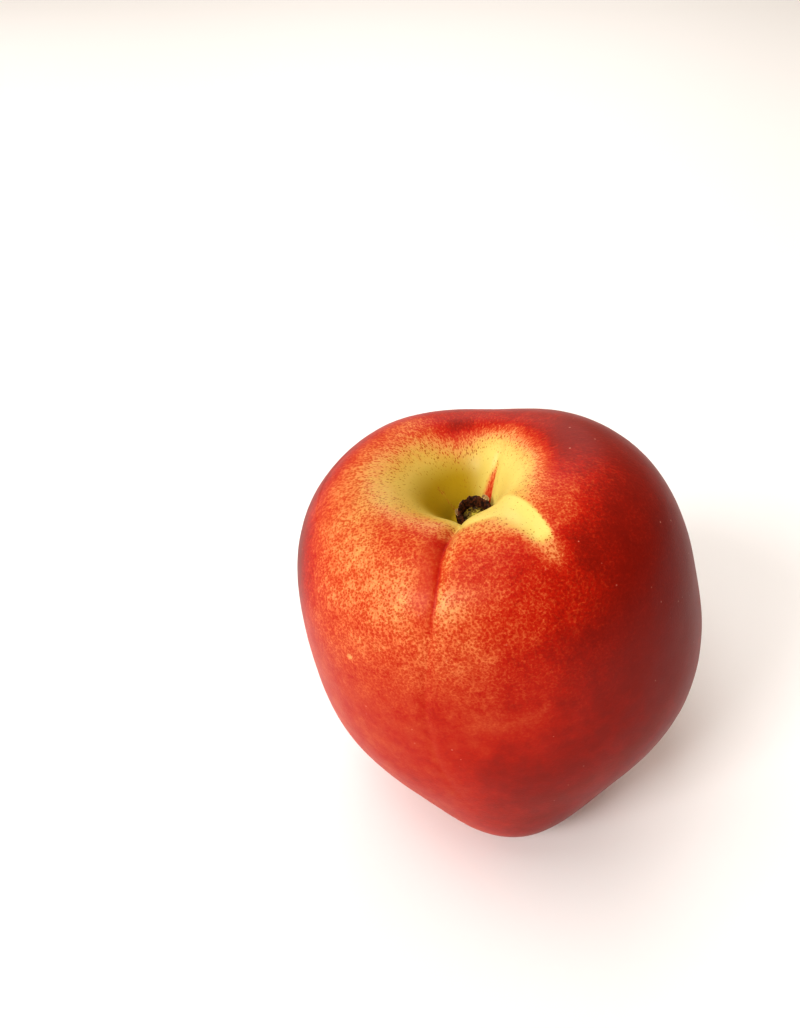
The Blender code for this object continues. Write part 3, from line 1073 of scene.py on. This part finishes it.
@dataclass
class Studio:
    """A plain pale floor, soft light and the camera."""

    card: WhiteCard = field(default_factory=WhiteCard)
    floor_half: float = 6.0
    floor_gap: float = 0.05
    camera_place: tuple[float, float, float] = (-0.0164, -0.0962, 0.1314)
    camera_tilt: float = math.radians(38)
    lens: float = 27.035
    sensor: float = 36.0
    room: str = "#FFECD6"
    room_glow: tuple[float, float] = (0.17, 0.62)

    def floor(self) -> None:
        """Adds the floor, a hair below the fruit's flat spot."""
        bpy.ops.object.select_all(action="DESELECT")
        bpy.ops.mesh.primitive_plane_add(size=2 * self.floor_half, location=(0, 0, -self.floor_gap * MM))
        floor = start_piece("studio_floor")
        floor.data.materials.append(self.card.material())

    def lamp(self, name: str, place: tuple, size: float, power: float, colour: str) -> None:
        """Adds a square soft light that faces the fruit.

        Args:
            name: The light's name.
            place: Where it stands, in metres.
            size: The length of its side, in metres.
            power: Its power in watts.
            colour: Its colour as sRGB hex.
        """
        light = bpy.data.lights.new(name, "AREA")
        light.size = size
        light.energy = power
        light.color = linear(colour)[:3]
        lamp = bpy.data.objects.new(name, light)
        lamp.location = place
        aim = Vector((0, 0, 0.035)) - Vector(place)
        lamp.rotation_euler = aim.to_track_quat("-Z", "Y").to_euler()
        bpy.context.scene.collection.objects.link(lamp)

    def light(self) -> None:
        """Lights the fruit: two windows at the left, a ceiling, a far window and a room paler at the back."""
        for name, place, size, power, colour in (
            ("ceiling", (-0.9, 0.1, 2.2), 1.6, 22.0, "#FFFFFF"),
            ("far_window", (0.3, 3.6, 2.2), 2.0, 26.0, "#FFFFFF"),
            ("window_left", (-1.86, -1.44, 1.70), 0.8, 44.0, "#FFFDFB"),
            ("window_front", (-1.06, -1.62, 2.20), 0.8, 16.0, "#FFFDFB"),
        ):
            self.lamp(name, place, size, power, colour)
        world = bpy.data.worlds.new("pale_room")
        world.use_nodes = True
        tree = world.node_tree
        background = tree.nodes["Background"]
        background.inputs["Color"].default_value = linear(self.room)
        direction = add_node(tree, "TexCoord").outputs["Generated"]
        back = add_node(tree, "SeparateXYZ", links={0: direction}).outputs["Y"]
        front, far = self.room_glow
        reach = {"From Min": -0.4, "From Max": 0.9, "To Min": front, "To Max": far}
        glow = add_node(tree, "MapRange", reach, {"Value": back}).outputs[0]
        tree.links.new(glow, background.inputs["Strength"])
        bpy.context.scene.world = world
        bpy.context.scene.view_settings.view_transform = "Standard"
        bpy.context.scene.view_settings.look = "Medium High Contrast"

    def camera(self) -> None:
        """Sets the camera up: close, looking down on the fruit."""
        data = bpy.data.cameras.new("camera")
        data.sensor_fit = "VERTICAL"
        data.sensor_height = self.sensor
        data.lens = self.lens
        data.clip_start = 0.005
        camera = bpy.data.objects.new("camera", data)
        camera.location = self.camera_place
        camera.rotation_euler = (math.pi / 2 - self.camera_tilt, 0, 0)
        bpy.context.scene.collection.objects.link(camera)
        bpy.context.scene.camera = camera


def main() -> None:
    """Builds the nectarine and its studio, in order."""
    logging.basicConfig(level=logging.INFO, format="%(name)s: %(message)s")
    stance = Stance()
    fruit = Fruit(stance)
    fruit.dress(fruit.build())
    StemStub(stance).dress()
    studio = Studio()
    studio.floor()
    studio.light()
    studio.camera()


if __name__ == "__main__":
    main()
